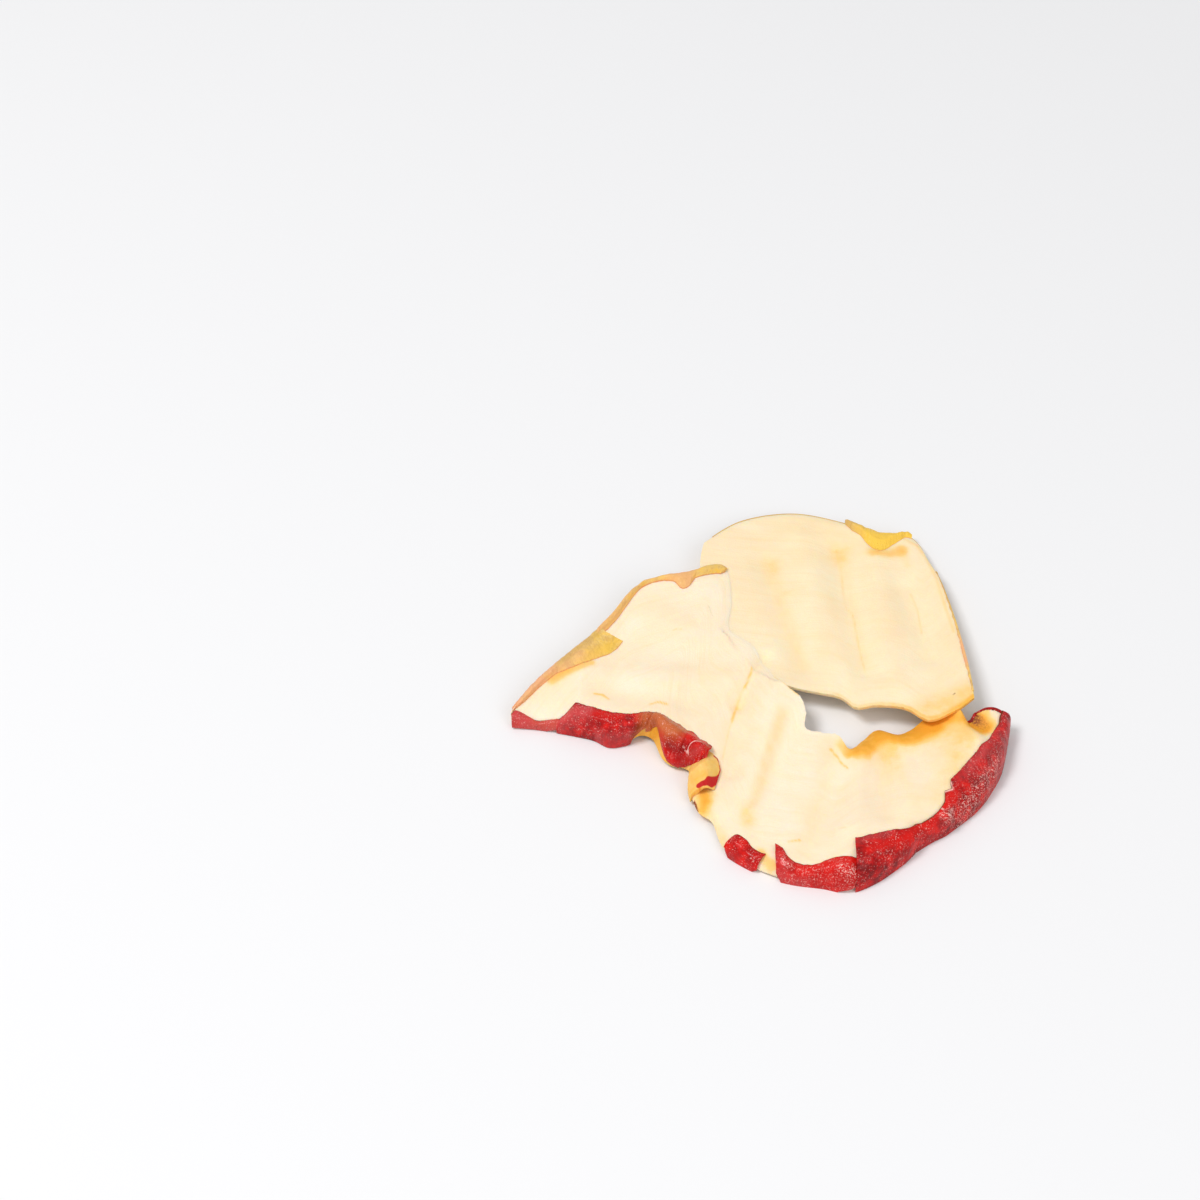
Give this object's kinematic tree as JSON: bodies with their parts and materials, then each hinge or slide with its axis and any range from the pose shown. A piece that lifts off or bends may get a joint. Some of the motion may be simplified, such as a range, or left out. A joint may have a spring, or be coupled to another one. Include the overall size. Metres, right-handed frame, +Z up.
{
  "type": "dried apple ring chip",
  "caption": "Thin dried ring slice of red apple: wavy pale flesh round an open core, with torn stretches of red skin curled over the rim.",
  "frame": {"origin": "centre of the bounding box in plan, on the surface that the chip lies on", "axes": "+Z up from that surface, +X to the right and +Y to the back as the chip lies in the picture"},
  "size_m": [0.0578, 0.0592, 0.0045],
  "materials": {
    "flesh": "matt dried apple flesh, cream with amber at its thin and folded edges",
    "red_skin": "dried red apple skin, waxy, finely wrinkled, with pale specks",
    "green_skin": "dried yellow-green apple skin, waxy, with pink-brown mottle"
  },
  "bodies": {
    "root": {"apple_chip": "flesh"}
  },
  "joints": []
}
